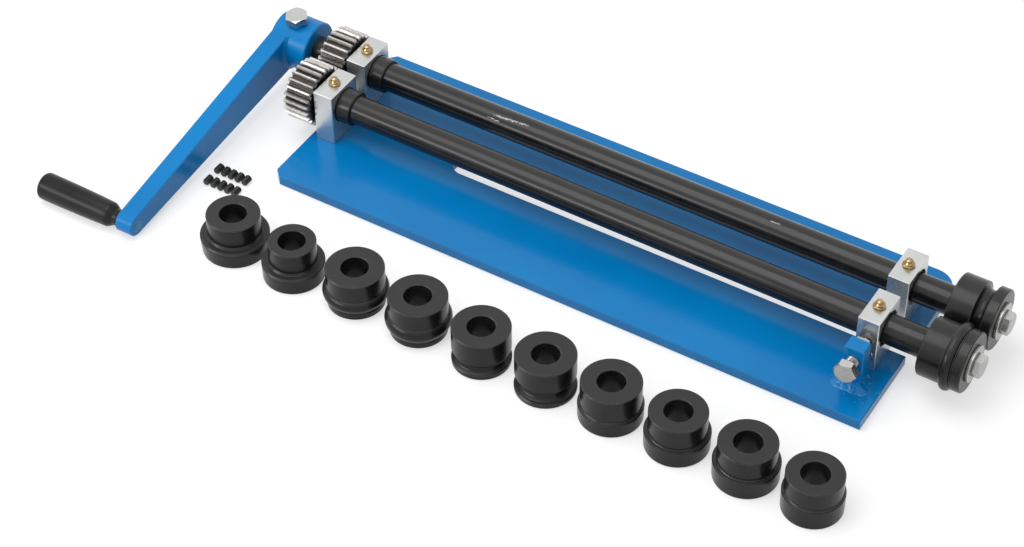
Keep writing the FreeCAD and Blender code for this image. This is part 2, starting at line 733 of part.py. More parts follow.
def build():
    save("base_plate", base_plate())
    save("block_screws", block_screws())
    fixed_holes = [(M8_R + FIT, BACK_Y - SCREW_OFF, SCREW_REACH + 0.5),
                   (M8_R + FIT, BACK_Y + SCREW_OFF, SCREW_REACH + 0.5)]
    ends = (("gear_end", GEAR_BLOCK_X), ("die_end", DIE_BLOCK_X))
    for end, x in ends:
        save("drive_block_" + end, block(x, BACK_Y, fixed_holes))
        save("drive_bush_" + end, bush(x, BACK_Y))
        save_swung("driven_bush_" + end, bush(x, FRONT_Y))
    pivot_hole = (M10_R + FIT, FRONT_Y, SCREW_REACH + 0.5)
    slide_hole = (M8_R + FIT, FRONT_Y - SLIDE_OFF, SCREW_REACH + 0.5)
    save_swung("driven_block_gear_end", block(GEAR_BLOCK_X, FRONT_Y, [pivot_hole]))
    save_swung("driven_block_die_end", block(DIE_BLOCK_X, FRONT_Y, [slide_hole]))
    save("drive_nipples", Part.makeCompound([nipple(x, BACK_Y) for end, x in ends]))
    save_swung("driven_nipples", Part.makeCompound([nipple(x, FRONT_Y) for end, x in ends]))
    save_swung("pivot_screw", low_screw(M10_R, GEAR_BLOCK_X, FRONT_Y, SCREW_REACH))
    save_swung("slide_screw", low_screw(M8_R, DIE_BLOCK_X, FRONT_Y - SLIDE_OFF, SCREW_REACH))
    save("pressure_post", pressure_post())
    save("post_weld", post_weld())
    save("push_bolt", push_bolt())
    save("lock_nut", lock_nut())
    half_tooth = math.pi / GEAR_TEETH
    # A tooth of the drive gear points at the driven shaft and enters a gap there
    save("drive_shaft", shaft(BACK_Y, STUB_X, 3.0, DIE_X - DRIVE_DIE_MORE).cut(set_flat()))
    save_swung("driven_shaft", shaft(FRONT_Y, GEAR_LEFT - 1.0, 1.0, DIE_X))
    save("drive_gear", gear(BACK_Y, math.pi / 2))
    save_swung("driven_gear", gear(FRONT_Y, math.pi / 2 + half_tooth))
    save("drive_gear_key", key_box(BACK_Y, 0))
    save_swung("driven_gear_key", key_box(FRONT_Y, 0))
    save("drive_collar", collar(BACK_Y))
    save_swung("driven_collar", collar(FRONT_Y))
    save("drive_die", along_x(female_die(), DIE_X, BACK_Y, AXIS_Z))
    save_swung("driven_die", along_x(male_die(), DIE_X, FRONT_Y, AXIS_Z))
    save("drive_washer", along_x(washer(), DIE_X + DIE_L, BACK_Y, AXIS_Z))
    save_swung("driven_washer", along_x(washer(), DIE_X + DIE_L, FRONT_Y, AXIS_Z))
    save("drive_bolt", end_bolt(BACK_Y))
    save_swung("driven_bolt", end_bolt(FRONT_Y))
    save("crank_arm", crank_arm())
    save("crank_set_bolt", set_bolt())
    save("grip_pin", grip_pin())
    save("grip", grip())
    for k, outline in enumerate(loose_profiles()):
        save("loose_die_%02d" % (k + 1), loose_die(k, outline))
    save("spare_grub_screws", grub_screws())


build()
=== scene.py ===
import math
from random import Random

import bpy
from mathutils import Matrix, Vector
from mathutils import noise as field


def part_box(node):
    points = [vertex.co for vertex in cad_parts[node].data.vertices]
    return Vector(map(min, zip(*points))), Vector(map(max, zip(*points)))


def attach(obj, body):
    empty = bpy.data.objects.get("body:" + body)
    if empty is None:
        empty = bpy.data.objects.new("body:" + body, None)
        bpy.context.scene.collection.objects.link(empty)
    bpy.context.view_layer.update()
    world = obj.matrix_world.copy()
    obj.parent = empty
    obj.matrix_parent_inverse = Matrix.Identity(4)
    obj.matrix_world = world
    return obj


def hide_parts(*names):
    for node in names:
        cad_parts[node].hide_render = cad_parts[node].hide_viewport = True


# Lengths are in metres, angles in degrees, in the frame's own axes.
MM = 0.001

# Camera, as found from the photograph
CAMERA_AT = (0.7740, -1.2754, 1.4514)
CAMERA_AZIMUTH = 31.634
CAMERA_ELEVATION = 44.534
CAMERA_ROLL = -0.439
LENS = 92.0
SENSOR = 36.0
CLIP_START = 0.01
CLIP_END = 60

# Light and floor
WORLD_LEVEL = 0.56
KEY_POWER = 17.0
KEY_SIZE = (1.6, 1.6)
KEY_AT = (-0.35, -0.30, 1.95)
STRIP_POWER = 8.0
STRIP_SIZE = (1.1, 0.36)
STRIP_AT = (-0.85, -1.25, 0.66)
FLOOR_COLOUR = 0.56
FLOOR_LIFT = 0.54
FLOOR_SIZE = 14.0
FLOOR_DROP = 0.2 * MM

# Gloss, least roughness and depth of the orange peel of each painted piece
PAINT_PLATE = (0.26, 0.11, 0.02 * MM)
PAINT_CRANK = (0.22, 0.26, 0.12 * MM)
PAINT_WELD = (0.34, 0.10, 0.55 * MM)

# Colours of the blue paint
BLUE = ((0.0006, 0.188, 0.508), (0.0006, 0.218, 0.572))
BLUE_DUST = (0.10, 0.30, 0.55)
BLUE_RUBBED = (0.05, 0.24, 0.50)
BLUE_CHIPPED = (0.05, 0.055, 0.06)
PIN_BLUE = ((0.012, 0.150, 0.330), (0.045, 0.230, 0.430))
# Painted highlight on the rim of the pin's painted end
PIN_RIM_HIGHLIGHT = (0.14, 0.36, 0.55)

# Colours of the bright metals
PLATED = ((0.61, 0.62, 0.61), (0.67, 0.68, 0.67))
PLATED_STREAK = (0.45, 0.46, 0.46)
PLATED_EDGE = (0.86, 0.87, 0.87)
GEAR_ROOT = (0.045, 0.040, 0.036)
GEAR_TIP = (0.50, 0.48, 0.46)
GEAR_STAIN = (0.14, 0.115, 0.095)
GEAR_EDGE = (0.62, 0.61, 0.60)
ZINC = ((0.34, 0.335, 0.325), (0.40, 0.395, 0.385))
# Dust film and painted top light on the zinc's upward faces
ZINC_DUST_AND_TOP_LIGHT = (0.58, 0.58, 0.57)
ZINC_EDGE = (0.88, 0.88, 0.87)
BRASS = ((0.30, 0.20, 0.09), (0.52, 0.38, 0.20))
BRONZE = ((0.035, 0.026, 0.018), (0.085, 0.062, 0.040))
# Painted shade laid into corners and crevices
CORNER_SHADE = (0.030, 0.028, 0.026)

# Colours of the black pieces
SHAFT_BLACK = ((0.005, 0.005, 0.006), (0.014, 0.013, 0.013))
# Dust film and painted top light on the shafts' upper sides
SHAFT_DUST_AND_TOP_LIGHT = (0.036, 0.035, 0.034)
SHAFT_RUBBED = (0.044, 0.040, 0.037)
SHAFT_BARE = (0.55, 0.55, 0.55)
SHAFT_EDGE = (0.12, 0.12, 0.12)
DIE_BLACK = ((0.007, 0.007, 0.007), (0.014, 0.014, 0.014))
# Dust film and painted top light on the dies' upward faces
DIE_DUST_AND_TOP_LIGHT = (0.042, 0.042, 0.041)
DIE_SPECK = (0.14, 0.14, 0.13)
# Edges of the dies: rubbed wear, and a painted edge highlight
DIE_EDGE_WEAR_AND_HIGHLIGHT = (0.15, 0.15, 0.15)
SCREW_BLACK = ((0.008, 0.008, 0.008), (0.020, 0.020, 0.020))
PLASTIC_BLACK = ((0.006, 0.006, 0.006), (0.012, 0.012, 0.012))

# Where a gear's tooth turns from dark root to bright tip
ROOT_RADIUS = 21.6 * MM
TIP_RADIUS = 24.2 * MM

# Rubbed bare marks on the back shaft: place, half length, half width
# and how far the mark drifts round the shaft for each metre along it
SCRATCHES = (((-0.0650, 0.0872, 0.0512), 0.0170, 0.00075, 0.060),
             ((0.1740, 0.0892, 0.0520), 0.0050, 0.00050, 0.10),
             ((-0.0800, 0.0838, 0.0486), 0.0060, 0.00030, 0.0))

# Painted length of the grip pin's riveted end
PIN_PAINTED = 1.5 * MM

# Threads and heads
M10_RADIUS = 5.0 * MM
M10_PITCH = 1.5 * MM
M10_LEAD_IN = 1.0 * MM
M10_FLATS = 17.0 * MM
M10_HEAD = 6.4 * MM
M6_RADIUS = 3.0 * MM
M6_PITCH = 1.0 * MM
M6_LEAD_IN = 0.7 * MM
M6_SOCKET = 3.0 * MM
M6_SOCKET_DEPTH = 2.6 * MM
M6_RIM = 0.75 * MM
GRUB_TURN = 37
THREAD_DEPTH = 0.54
THREAD_FLAT = 0.1
THREAD_SIDES = 36
RINGS_PER_TURN = 8
HEAD_FACE = 0.94
HEAD_FOOT = 0.3
HEAD_CONE = 30
CROWN = 0.86
CROWN_DIP = 0.12 * MM

# Weld round the post's foot
WELD_OUT = 8.0 * MM
WELD_OUT_BACK = 3.4 * MM
WELD_UP = 5.0 * MM
WELD_UP_BACK = 3.4 * MM
WELD_STEPS = 150
WELD_ROWS = 14
WELD_CORNER = 3.0 * MM
WELD_INSIDE = 0.5 * MM
WELD_SLOPE = 1.35
WELD_LUMPS = 0.25
WELD_WANDER = 0.14
LUMP_SCALE = 260
BEAD_SCALE = 420
BEAD_RISE = 1.1 * MM

# Drops of weld metal round the foot
SPATTER_COUNT = 26
SPATTER_SEED = 4
SPATTER_TURN = (180, 370)
SPATTER_AWAY = (15 * MM, 25 * MM)
SPATTER_SIZE = (0.35 * MM, 0.95 * MM)
DROP_LIFTS = (0, 35, 62, 80)
DROP_SIDES = 12
DROP_SUNK = 0.05 * MM
DROP_HEIGHT = 0.5


# Camera

def camera_axes():
    """Right, up and back of the camera in the frame."""
    a = math.radians(CAMERA_AZIMUTH)
    e = math.radians(CAMERA_ELEVATION)
    r = math.radians(CAMERA_ROLL)
    back = Vector((math.sin(a) * math.cos(e), -math.cos(a) * math.cos(e), math.sin(e)))
    right = Vector((math.cos(a), math.sin(a), 0))
    up = back.cross(right)
    return right * math.cos(r) + up * math.sin(r), up * math.cos(r) - right * math.sin(r), back


def add_camera():
    data = bpy.data.cameras.new("camera")
    data.sensor_width = SENSOR
    data.lens = LENS
    data.clip_start = CLIP_START
    data.clip_end = CLIP_END
    camera = bpy.data.objects.new("camera", data)
    turn = Matrix(camera_axes()).transposed().to_4x4()
    camera.matrix_world = Matrix.Translation(CAMERA_AT) @ turn
    bpy.context.scene.collection.objects.link(camera)
    bpy.context.scene.camera = camera


# Light, world and floor

def add_lamp(name, at, power, size, shape):
    """Area lamp that faces the middle of the frame."""
    data = bpy.data.lights.new(name, "AREA")
    data.energy = power
    data.shape = shape
    data.size, data.size_y = size
    lamp = bpy.data.objects.new(name, data)
    lamp.location = at
    lamp.rotation_euler = (-Vector(at)).to_track_quat("-Z", "Y").to_euler()
    bpy.context.scene.collection.objects.link(lamp)


def seen_directly(tree):
    """1 for camera, glossy and transmitted rays, 0 for the light they gather."""
    path = node(tree, "ShaderNodeLightPath")
    seen = maths(tree, "MAXIMUM", path.outputs["Is Camera Ray"], path.outputs["Is Glossy Ray"])
    return maths(tree, "MAXIMUM", seen, path.outputs["Is Transmission Ray"])


def add_world():
    """Even light on the object, in front of a white background."""
    world = bpy.data.worlds.new("studio")
    bpy.context.scene.world = world
    world.use_nodes = True
    tree = world.node_tree
    tree.nodes.clear()
    light = node(tree, "ShaderNodeBackground", {"Color": (1, 1, 1, 1), "Strength": WORLD_LEVEL})
    white = node(tree, "ShaderNodeBackground", {"Color": (1, 1, 1, 1), "Strength": 1.0})
    mixed = {0: seen_directly(tree), 1: light.outputs[0], 2: white.outputs[0]}
    both = node(tree, "ShaderNodeMixShader", mixed)
    node(tree, "ShaderNodeOutputWorld", {"Surface": both.outputs[0]})


def floor_material():
    """Pale floor, lifted to white where it is seen, that keeps the shadows."""
    material, tree, surface = new_material("floor")
    set_inputs(tree, surface, {"Base Color": (FLOOR_COLOUR, FLOOR_COLOUR, FLOOR_COLOUR, 1),
                               "Roughness": 0.9,
                               "Specular IOR Level": 0.1,
                               "Emission Color": (1, 1, 1, 1),
                               "Emission Strength": maths(tree, "MULTIPLY", seen_directly(tree), FLOOR_LIFT)})
    return material


def add_floor():
    s = FLOOR_SIZE / 2
    corners = [(-s, -s, -FLOOR_DROP), (s, -s, -FLOOR_DROP), (s, s, -FLOOR_DROP), (-s, s, -FLOOR_DROP)]
    mesh = bpy.data.meshes.new("floor")
    mesh.from_pydata(corners, [], [(0, 1, 2, 3)])
    floor = bpy.data.objects.new("floor", mesh)
    mesh.materials.append(floor_material())
    bpy.context.scene.collection.objects.link(floor)


# Short ways to write nodes

def set_inputs(tree, made, inputs):
    """Set a node's inputs; each is a number, a colour or a socket to link."""
    for key, value in inputs.items():
        if isinstance(value, bpy.types.NodeSocket):
            tree.links.new(value, made.inputs[key])
        else:
            made.inputs[key].default_value = value


def node(tree, kind, inputs=None, **settings):
    """Add a node with its settings and inputs."""
    made = tree.nodes.new(kind)
    for key, value in settings.items():
        setattr(made, key, value)
    set_inputs(tree, made, inputs or {})
    return made


def maths(tree, operation, a, b=0.0):
    return node(tree, "ShaderNodeMath", {0: a, 1: b}, operation=operation).outputs[0]


def vector_maths(tree, operation, a, b):
    return node(tree, "ShaderNodeVectorMath", {0: a, 1: b}, operation=operation).outputs


def position(tree):
    """The point's place on its own object, in metres."""
    return node(tree, "ShaderNodeTexCoord").outputs["Object"]


def scaled(tree, where, stretch):
    return vector_maths(tree, "MULTIPLY", where, stretch)[0]


def noise(tree, where, scale, detail=3.0, roughness=0.55):
    made = node(tree, "ShaderNodeTexNoise", {"Vector": where, "Scale": scale, "Detail": detail,
                                             "Roughness": roughness})
    return made.outputs["Fac"]


def band(tree, value, low, high, to_low=0.0, to_high=1.0):
    """Value from low to high, taken to to_low to to_high and clamped."""
    return node(tree, "ShaderNodeMapRange", {0: value, 1: low, 2: high, 3: to_low, 4: to_high}).outputs[0]


def blend(tree, factor, a, b):
    """Mix of two colours."""
    made = node(tree, "ShaderNodeMix", data_type="RGBA")
    for index, value in ((0, factor), (6, a), (7, b)):
        if isinstance(value, bpy.types.NodeSocket):
            tree.links.new(value, made.inputs[index])
        else:
            made.inputs[index].default_value = value if index == 0 else (*value, 1)
    return made.outputs[2]


def edges(tree, width):
    """1 on edges about as wide as width, 0 on flats."""
    soft = node(tree, "ShaderNodeBevel", {"Radius": width}, samples=6)
    flat = node(tree, "ShaderNodeNewGeometry")
    same = vector_maths(tree, "DOT_PRODUCT", soft.outputs[0], flat.outputs["Normal"])["Value"]
    return band(tree, same, 0.995, 0.90)


def bump(tree, surface, height, distance, strength=1.0):
    """Small relief, distance deep where height goes from 0 to 1."""
    made = node(tree, "ShaderNodeBump", {"Height": height, "Distance": distance, "Strength": strength})
    tree.links.new(made.outputs[0], surface.inputs["Normal"])


def radius_from(tree, where, axis, centre):
    """Distance from a line along axis through centre."""
    flat = tuple(0.0 if name == axis else 1.0 for name in "XYZ")
    off = vector_maths(tree, "SUBTRACT", where, tuple(centre))[0]
    length = node(tree, "ShaderNodeVectorMath", {0: scaled(tree, off, flat)}, operation="LENGTH")
    return length.outputs["Value"]


def along(tree, where, axis):
    """One coordinate of a place."""
    return node(tree, "ShaderNodeSeparateXYZ", {0: where}).outputs["XYZ".index(axis)]


def worn_and_lit_edges(tree, colour, width, amount, bare):
    """Colour with its edges taken towards bare: rubbed wear, and on the dies a painted edge highlight too."""
    return blend(tree, maths(tree, "MULTIPLY", edges(tree, width), amount), colour, bare)


def dust_and_top_light(tree, colour, dust, amount):
    """Colour lightened on what faces up: a thin dust film and painted top light."""
    normal = node(tree, "ShaderNodeNewGeometry").outputs["Normal"]
    facing_up = band(tree, along(tree, normal, "Z"), 0.45, 0.80, 0.0, amount)
    return blend(tree, facing_up, colour, dust)


def shade_corners(tree, colour, reach, amount):
    """Colour with painted shade in the corners, as far out as reach."""
    open_sky = node(tree, "ShaderNodeAmbientOcclusion", {"Distance": reach}, samples=8).outputs["AO"]
    return blend(tree, band(tree, open_sky, 0.92, 0.50, 0.0, amount), colour, CORNER_SHADE)


def new_material(name):
    """Empty material with a surface shader joined to its output."""
    material = bpy.data.materials.new(name)
    material.use_nodes = True
    tree = material.node_tree
    tree.nodes.clear()
    surface = node(tree, "ShaderNodeBsdfPrincipled")
    node(tree, "ShaderNodeOutputMaterial", {"Surface": surface.outputs[0]})
    return material, tree, surface


# Materials

def blue_paint(name, gloss, rough, peel):
    """Glossy blue enamel with an orange peel as deep as peel, rubbed and chipped edges."""
    material, tree, surface = new_material("blue_paint_" + name)
    where = position(tree)
    cloud = band(tree, noise(tree, where, 9.0, 4.0), 0.35, 0.65)
    colour = blend(tree, cloud, *BLUE)
    dust = band(tree, noise(tree, where, 900.0, 2.0), 0.68, 0.80, 0.0, 0.25)
    colour = blend(tree, dust, colour, BLUE_DUST)
    edge = edges(tree, 1.2 * MM)
    colour = blend(tree, maths(tree, "MULTIPLY", edge, 0.45), colour, BLUE_RUBBED)
    chip = maths(tree, "MULTIPLY", edge, band(tree, noise(tree, where, 140.0, 5.0, 0.7), 0.64, 0.67))
    colour = blend(tree, chip, colour, BLUE_CHIPPED)
    smear = noise(tree, scaled(tree, where, (1.0, 2.5, 2.5)), 14.0, 5.0)
    smear = band(tree, smear, 0.3, 0.7, rough, rough + 0.12)
    dull = maths(tree, "ADD", smear, maths(tree, "MULTIPLY", chip, 0.3))
    set_inputs(tree, surface, {"Base Color": colour, "Roughness": dull, "Specular IOR Level": gloss})
    bump(tree, surface, noise(tree, where, 420.0, 2.0), peel, 0.5)
    return material


def plated_steel():
    """Pale zinc plating on milled blocks: fine streaks and faint clouds."""
    material, tree, surface = new_material("plated_steel_finish")
    where = position(tree)
    cloud = band(tree, noise(tree, where, 45.0, 2.0), 0.35, 0.65)
    colour = blend(tree, cloud, *PLATED)
    streak = noise(tree, scaled(tree, where, (1.0, 0.12, 0.12)), 3500.0, 3.0)
    colour = blend(tree, band(tree, streak, 0.35, 0.75, 0.0, 0.12), colour, PLATED_STREAK)
    colour = worn_and_lit_edges(tree, colour, 0.8 * MM, 0.6, PLATED_EDGE)
    # Painted shade in the corners round the nipples and joints
    colour = shade_corners(tree, colour, 1.2 * MM, 0.75)
    dull = band(tree, cloud, 0.0, 1.0, 0.24, 0.30)
    set_inputs(tree, surface, {"Base Color": colour, "Roughness": dull, "Metallic": 0.85})
    bump(tree, surface, streak, 0.001 * MM, 0.3)
    return material


def bright_steel(axis_at):
    """Hobbed gear steel, bright on the tips and darker towards the roots."""
    material, tree, surface = new_material("bright_steel_finish_%d" % round(axis_at.y * 1000))
    where = position(tree)
    tip = band(tree, radius_from(tree, where, "X", axis_at), ROOT_RADIUS, TIP_RADIUS)
    stain = noise(tree, where, 260.0, 5.0, 0.65)
    colour = blend(tree, tip, GEAR_ROOT, GEAR_TIP)
    colour = blend(tree, band(tree, stain, 0.45, 0.75, 0.0, 0.6), colour, GEAR_STAIN)
    colour = worn_and_lit_edges(tree, colour, 0.4 * MM, 0.5, GEAR_EDGE)
    dull = band(tree, stain, 0.3, 0.7, 0.26, 0.42)
    set_inputs(tree, surface, {"Base Color": colour, "Roughness": dull, "Metallic": 0.9})
    cut = noise(tree, scaled(tree, where, (0.05, 1.0, 1.0)), 2600.0, 2.0)
    bump(tree, surface, cut, 0.02 * MM, 0.5)
    return material


def black_steel():
    """Blackened shaft steel with long rubbed streaks and a few bare scratches."""
    material, tree, surface = new_material("black_steel_finish")
    where = position(tree)
    streak = noise(tree, scaled(tree, where, (0.04, 1.0, 1.0)), 420.0, 5.0, 0.6)
    cloud = noise(tree, where, 28.0, 5.0, 0.6)
    colour = blend(tree, band(tree, streak, 0.35, 0.7), *SHAFT_BLACK)
    # Upper side lightened: dust film and painted top light
    colour = dust_and_top_light(tree, colour, SHAFT_DUST_AND_TOP_LIGHT, 0.75)
    colour = blend(tree, band(tree, cloud, 0.45, 0.75, 0.0, 0.3), colour, SHAFT_RUBBED)
    colour = blend(tree, shaft_scratches(tree, where), colour, SHAFT_BARE)
    colour = worn_and_lit_edges(tree, colour, 0.8 * MM, 0.35, SHAFT_EDGE)
    dull = band(tree, cloud, 0.3, 0.7, 0.16, 0.26)
    set_inputs(tree, surface, {"Base Color": colour, "Roughness": dull, "Specular IOR Level": 0.30})
    bump(tree, surface, streak, 0.006 * MM, 0.3)
    return material


def shaft_scratches(tree, where):
    """Thin ragged pale marks on the back shaft."""
    ragged = noise(tree, scaled(tree, where, (0.30, 1.0, 1.0)), 1500.0, 3.0, 0.7)
    wobble = band(tree, noise(tree, where, 260.0, 2.0), 0.0, 1.0, -0.0009, 0.0009)
    total = None
    for centre, half, width, drift in SCRATCHES:
        off = vector_maths(tree, "SUBTRACT", where, centre)[0]
        slide = maths(tree, "MULTIPLY", along(tree, off, "X"), drift)
        across = maths(tree, "SUBTRACT", maths(tree, "ADD", along(tree, off, "Y"), wobble), slide)
        near = band(tree, maths(tree, "ABSOLUTE", across), width, 0.5 * width)
        long = band(tree, maths(tree, "ABSOLUTE", along(tree, off, "X")), half, 0.7 * half)
        above = band(tree, along(tree, where, "Z"), centre[2] - 0.003, centre[2] - 0.002)
        patch = maths(tree, "MULTIPLY", maths(tree, "MULTIPLY", near, long), above)
        total = patch if total is None else maths(tree, "MAXIMUM", total, patch)
    return maths(tree, "MULTIPLY", band(tree, ragged, 0.42, 0.52), total)


def black_oxide(name, axis, centre):
    """Blackened turned steel: fine lathe rings round its own axis."""
    material, tree, surface = new_material("black_oxide_" + name)
    where = position(tree)
    outward = maths(tree, "ADD", radius_from(tree, where, axis, centre), along(tree, where, axis))
    rings = maths(tree, "SINE", maths(tree, "MULTIPLY", outward, 9000.0))
    cloud = noise(tree, where, 70.0, 5.0, 0.6)
    colour = blend(tree, band(tree, cloud, 0.3, 0.7), *DIE_BLACK)
    # Upward faces lightened: dust film and painted top light
    colour = dust_and_top_light(tree, colour, DIE_DUST_AND_TOP_LIGHT, 0.75)
    speck = band(tree, noise(tree, where, 700.0, 2.0), 0.72, 0.78, 0.0, 0.3)
    colour = blend(tree, speck, colour, DIE_SPECK)
    # Edges lightened in patches: rubbed wear and a painted edge highlight
    edge_wear_and_highlight = band(tree, noise(tree, where, 90.0, 3.0), 0.35, 0.6, 0.25, 0.8)
    colour = worn_and_lit_edges(tree, colour, 0.7 * MM, edge_wear_and_highlight, DIE_EDGE_WEAR_AND_HIGHLIGHT)
    dull = band(tree, cloud, 0.3, 0.7, 0.20, 0.30)
    set_inputs(tree, surface, {"Base Color": colour, "Roughness": dull, "Specular IOR Level": 0.24})
    bump(tree, surface, rings, 0.004 * MM, 0.5)
    return material


def black_screws():
    """Dull black oxide on the small screws."""
    material, tree, surface = new_material("black_screws_finish")
    where = position(tree)
    cloud = noise(tree, where, 500.0, 3.0)
    colour = blend(tree, band(tree, cloud, 0.35, 0.65), *SCREW_BLACK)
    set_inputs(tree, surface, {"Base Color": colour, "Roughness": band(tree, cloud, 0.3, 0.7, 0.35, 0.5)})
    bump(tree, surface, cloud, 0.01 * MM, 0.4)
    return material


def zinc_hardware():
    """Bright zinc plating on bolts, nut and washers."""
    material, tree, surface = new_material("zinc_hardware_finish")
    where = position(tree)
    cloud = noise(tree, where, 160.0, 3.0, 0.5)
    colour = blend(tree, band(tree, cloud, 0.3, 0.7), *ZINC)
    # Upward faces lightened: dust film and painted top light
    colour = dust_and_top_light(tree, colour, ZINC_DUST_AND_TOP_LIGHT, 0.9)
    colour = worn_and_lit_edges(tree, colour, 0.5 * MM, 0.8, ZINC_EDGE)
    # Painted shade in the corners round heads, washers and nut
    colour = shade_corners(tree, colour, 1.6 * MM, 0.85)
    dull = band(tree, cloud, 0.3, 0.7, 0.22, 0.30)
    set_inputs(tree, surface, {"Base Color": colour, "Roughness": dull, "Metallic": 0.92})
    bump(tree, surface, noise(tree, where, 900.0, 2.0), 0.004 * MM, 0.3)
    return material


def warm_metal(name, colours, roughness):
    """Brass and bronze, turned and slightly tarnished."""
    material, tree, surface = new_material(name)
    where = position(tree)
    cloud = noise(tree, where, 320.0, 4.0, 0.6)
    colour = blend(tree, band(tree, cloud, 0.35, 0.7), *colours)
    dull = band(tree, cloud, 0.3, 0.7, roughness, roughness + 0.16)
    set_inputs(tree, surface, {"Base Color": colour, "Roughness": dull, "Metallic": 1.0})
    bump(tree, surface, cloud, 0.01 * MM, 0.4)
    return material


def black_plastic():
    """Moulded black handle plastic with a fine grain."""
    material, tree, surface = new_material("black_plastic_finish")
    where = position(tree)
    cloud = noise(tree, where, 40.0, 4.0)
    colour = blend(tree, band(tree, cloud, 0.3, 0.7), *PLASTIC_BLACK)
    dull = band(tree, cloud, 0.3, 0.7, 0.28, 0.36)
    set_inputs(tree, surface, {"Base Color": colour, "Roughness": dull, "Specular IOR Level": 0.24})
    bump(tree, surface, noise(tree, where, 2600.0, 2.0), 0.02 * MM, 0.5)
    return material


def painted_pin(tip_x):
    """Zinc pin whose riveted end, at tip_x, was painted over with the arm."""
    material, tree, surface = new_material("grip_pin_finish")
    where = position(tree)
    start = tip_x - PIN_PAINTED
    paint = band(tree, along(tree, where, "X"), start - 0.1 * MM, start + 0.1 * MM)
    cloud = noise(tree, where, 600.0, 3.0)
    blue = blend(tree, band(tree, cloud, 0.40, 0.60), *PIN_BLUE)
    # Painted highlight: the riveted end's rim is lightened
    blue = blend(tree, edges(tree, 0.5 * MM), blue, PIN_RIM_HIGHLIGHT)
    set_inputs(tree, surface, {"Base Color": blend(tree, paint, ZINC[1], blue),
                               "Metallic": band(tree, paint, 0.0, 1.0, 0.92, 0.0),
                               "Roughness": 0.28,
                               "Specular IOR Level": 0.26})
    bump(tree, surface, cloud, 0.03 * MM, 0.4)
    return material


def middle(name):
    low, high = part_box(name)
    return (low + high) / 2


def own_material(name, kind, shared):
    """Material of a node: its own where it is turned, painted apart or a gear, else its slot's."""
    if kind == "bright_steel":
        return bright_steel(middle(name))
    if kind == "black_oxide":
        return black_oxide(name, "Z" if name.startswith("loose") else "X", middle(name))
    if name == "crank_arm":
        return blue_paint("crank", *PAINT_CRANK)
    if name == "grip_pin":
        return painted_pin(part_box(name)[1].x)
    return shared[kind]


def dress_nodes(nodes):
    """Give every CAD node a finish; returns the finishes that nodes share."""
    shared = {
        "blue_paint": blue_paint("finish", *PAINT_PLATE),
        "plated_steel": plated_steel(),
        "black_steel": black_steel(),
        "black_screws": black_screws(),
        "zinc_hardware": zinc_hardware(),
        "bearing_bronze": warm_metal("bearing_bronze_finish", BRONZE, 0.34),
        "brass": warm_metal("brass_finish", BRASS, 0.16),
        "black_plastic": black_plastic(),
    }
    for name, piece in nodes.items():
        for slot in piece.material_slots:
            slot.material = own_material(name, slot.material.name.split(".")[0], shared)
    return shared


# Meshes

def add_piece(name, verts, faces, body, material, sharp=35.0):
    """Add a mesh that rides on a body, smooth up to the sharp angle."""
    mesh = bpy.data.meshes.new(name)
    mesh.from_pydata(verts, [], faces)
    mesh.validate()
    mesh.shade_smooth()
    mesh.set_sharp_from_angle(angle=math.radians(sharp))
    mesh.materials.append(material)
    piece = bpy.data.objects.new(name, mesh)
    bpy.context.scene.collection.objects.link(piece)
    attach(piece, body)
    return piece


def ring(sides, z, radius_at):
    """Points round the Z axis at height z, with the radius that radius_at gives each angle."""
    angles = [2 * math.pi * j / sides for j in range(sides)]
    return [(radius_at(a) * math.cos(a), radius_at(a) * math.sin(a), z) for a in angles]


def ring_faces(count, rows):
    """Quads between rows of count points each."""
    faces = []
    for a in range(0, (rows - 1) * count, count):
        b = a + count
        for j in range(count):
            k = (j + 1) % count
            faces.append((a + j, a + k, b + k, b + j))
    return faces


def closed_rows(rows):
    """Vertices and faces of a closed skin made of rings, capped at both ends."""
    verts = [point for row in rows for point in row]
    count = len(rows[0])
    faces = ring_faces(count, len(rows))
    faces.append(tuple(reversed(range(count))))
    last = (len(rows) - 1) * count
    faces.append(tuple(range(last, last + count)))
    return verts, faces


def joined(parts):
    """One list of vertices and one of faces, from several pairs of them."""
    verts, faces = [], []
    for part_verts, part_faces in parts:
        start = len(verts)
        verts += part_verts
        faces += [tuple(start + i for i in face) for face in part_faces]
    return verts, faces


def moved(verts, matrix):
    return [tuple(matrix @ Vector(point)) for point in verts]


# Threaded pieces

def thread_radius(radius, pitch, z, angle):
    """Radius of a thread at a height and an angle, with flats on its crest and in its root."""
    turns = z / pitch - angle / (2 * math.pi)
    peak = abs(2 * (turns % 1.0) - 1)
    cut = min(max((peak - THREAD_FLAT) / (1 - 2 * THREAD_FLAT), 0.0), 1.0)
    return radius - THREAD_DEPTH * pitch * cut


def threaded_rows(radius, pitch, length, lead_in):
    """Rings of a threaded rod along +Z from 0 to length, with a cone at Z 0."""
    count = int(length / pitch * RINGS_PER_TURN)
    rows = []
    for i in range(count + 1):
        z = length * i / count
        limit = radius - max(lead_in - z, 0.0)
        rows.append(ring(THREAD_SIDES, z, lambda a: min(thread_radius(radius, pitch, z, a), limit)))
    return rows


def hex_radius(flats, angle):
    """Distance from a hexagon's centre to its side at an angle."""
    turn = math.radians(60)
    return flats / 2 / math.cos((angle % turn) - turn / 2)


